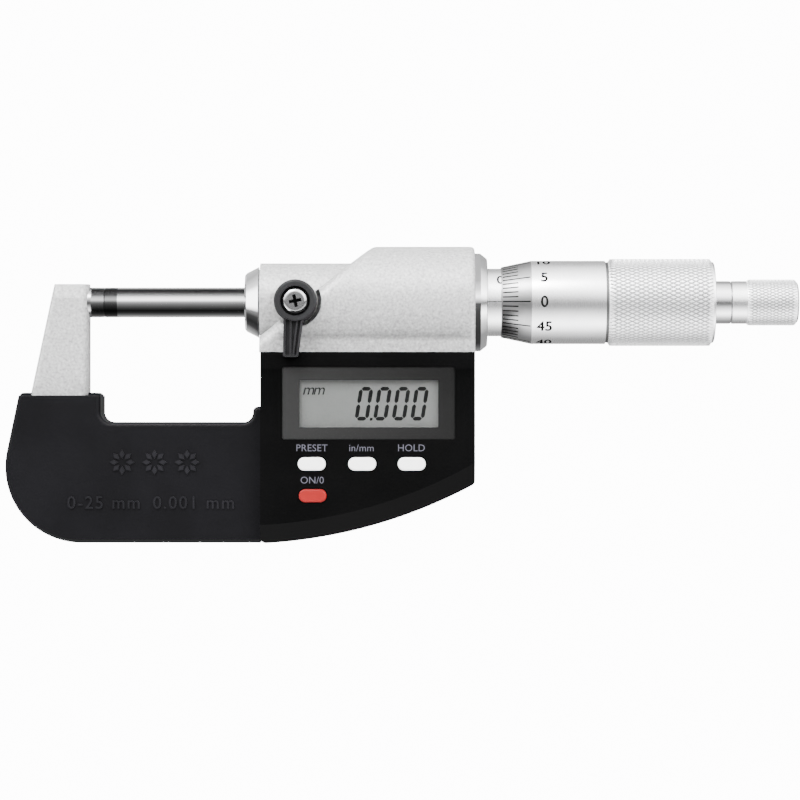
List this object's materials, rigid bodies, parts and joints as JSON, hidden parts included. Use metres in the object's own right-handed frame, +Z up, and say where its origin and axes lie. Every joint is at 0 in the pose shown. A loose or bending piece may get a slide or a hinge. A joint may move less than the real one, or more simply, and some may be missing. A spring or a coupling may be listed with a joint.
{
  "type": "outside micrometer",
  "caption": "Digital outside micrometer with a U frame, screw spindle, graduated thimble, ratchet stop, spindle lock, display and keys.",
  "frame": {"origin": "centre of the anvil's measuring face, on the spindle axis", "axes": "+X along the spindle from the anvil to the ratchet, +Z up, the display looks towards -Y"},
  "size_m": [0.1716, 0.0271, 0.0641],
  "materials": {
    "hammer_paint": "speckled silver hammer paint",
    "black_shell": "matte black insulating plastic",
    "black_case": "satin black plastic",
    "black_lever": "black plastic lever",
    "satin_chrome": "satin chrome",
    "bright_chrome": "bright chrome",
    "steel": "machined steel",
    "carbide": "ground carbide",
    "brass": "brass",
    "contacts": "spring contacts",
    "boards": "glass-epoxy board",
    "sensor_lead": "flexible circuit",
    "display_chip": "moulded chip",
    "button_domes": "snap domes",
    "window": "clear window over a grey mask",
    "lcd": "grey reflective display",
    "zebra": "conductive rubber",
    "white_buttons": "white keys",
    "red_button": "red key",
    "seal": "black rubber ring"
  },
  "bodies": {
    "frame": {"frame": "hammer_paint", "anvil": "steel", "anvil_tip": "carbide", "nose_bush": "bright_chrome", "rear_flange": "bright_chrome", "sleeve": "satin_chrome", "inner_sleeve": "steel", "adjusting_nut": "steel", "stop_pin": "steel", "stator_disc": "boards", "thrust_washer": "steel", "rotor_spring": "steel", "sensor_lead": "sensor_lead", "shell_front": "black_shell", "shell_rear": "black_shell", "shell_screws": "steel", "housing_front": "black_case", "housing_rear": "black_case", "housing_screws": "steel", "display_window": "window", "lcd_panel": "lcd", "zebra_strips": "zebra", "main_board": "boards", "display_chip": "display_chip", "button_domes": "button_domes", "button_cell": "steel", "contact_negative": "contacts", "contact_positive": "contacts"},
    "rotor": {"rotor_disc": "boards", "rotor_bush": "brass", "drive_key": "steel"},
    "spindle": {"spindle": "bright_chrome", "spindle_tip": "carbide", "thimble": "satin_chrome", "thimble_grip": "satin_chrome", "ratchet_shaft": "satin_chrome", "ratchet_screw": "steel"},
    "ratchet": {"ratchet_knob": "satin_chrome", "ratchet_disc": "steel", "ratchet_spring": "steel"},
    "lock_lever": {"lock_lever": "black_lever", "lock_stud": "steel", "lock_screw": "bright_chrome", "brake_pad": "brass"},
    "preset_button": {"preset_button": "white_buttons"},
    "unit_button": {"unit_button": "white_buttons"},
    "hold_button": {"hold_button": "white_buttons"},
    "power_button": {"power_button": "red_button"},
    "cell_cap": {"cell_cap": "black_case", "cap_seal": "seal"}
  },
  "joints": [
    {"name": "spindle_turn", "type": "hinge", "parent": "frame", "child": "rotor", "pos_m": [0.07, 0, 0], "axis": [1, 0, 0], "range_deg": [0, 18000]},
    {"name": "spindle_travel", "type": "slide", "parent": "rotor", "child": "spindle", "axis": [1, 0, 0], "range_m": [0, 0.025]},
    {"name": "ratchet_slip", "type": "hinge", "parent": "spindle", "child": "ratchet", "pos_m": [0.143, 0, 0], "axis": [1, 0, 0], "range_deg": [-360, 0]},
    {"name": "lock_swing", "type": "hinge", "parent": "frame", "child": "lock_lever", "pos_m": [0.0417, -0.012, 0], "axis": [0, -1, 0], "range_deg": [0, 60]},
    {"name": "preset_button_press", "type": "slide", "parent": "frame", "child": "preset_button", "axis": [0, 1, 0], "range_m": [0, 0.0004], "stiffness_N_per_m": 800},
    {"name": "unit_button_press", "type": "slide", "parent": "frame", "child": "unit_button", "axis": [0, 1, 0], "range_m": [0, 0.0004], "stiffness_N_per_m": 800},
    {"name": "hold_button_press", "type": "slide", "parent": "frame", "child": "hold_button", "axis": [0, 1, 0], "range_m": [0, 0.0004], "stiffness_N_per_m": 800},
    {"name": "power_button_press", "type": "slide", "parent": "frame", "child": "power_button", "axis": [0, 1, 0], "range_m": [0, 0.0004], "stiffness_N_per_m": 800},
    {"name": "cell_cap_turn", "type": "hinge", "parent": "frame", "child": "cell_cap", "pos_m": [0.057, 0.011, -0.03], "axis": [0, 1, 0], "range_deg": [0, 90]}
  ],
  "couplings": [
    {"joint": "spindle_turn", "follows": "spindle_travel", "rad_per_m": 12566}
  ]
}
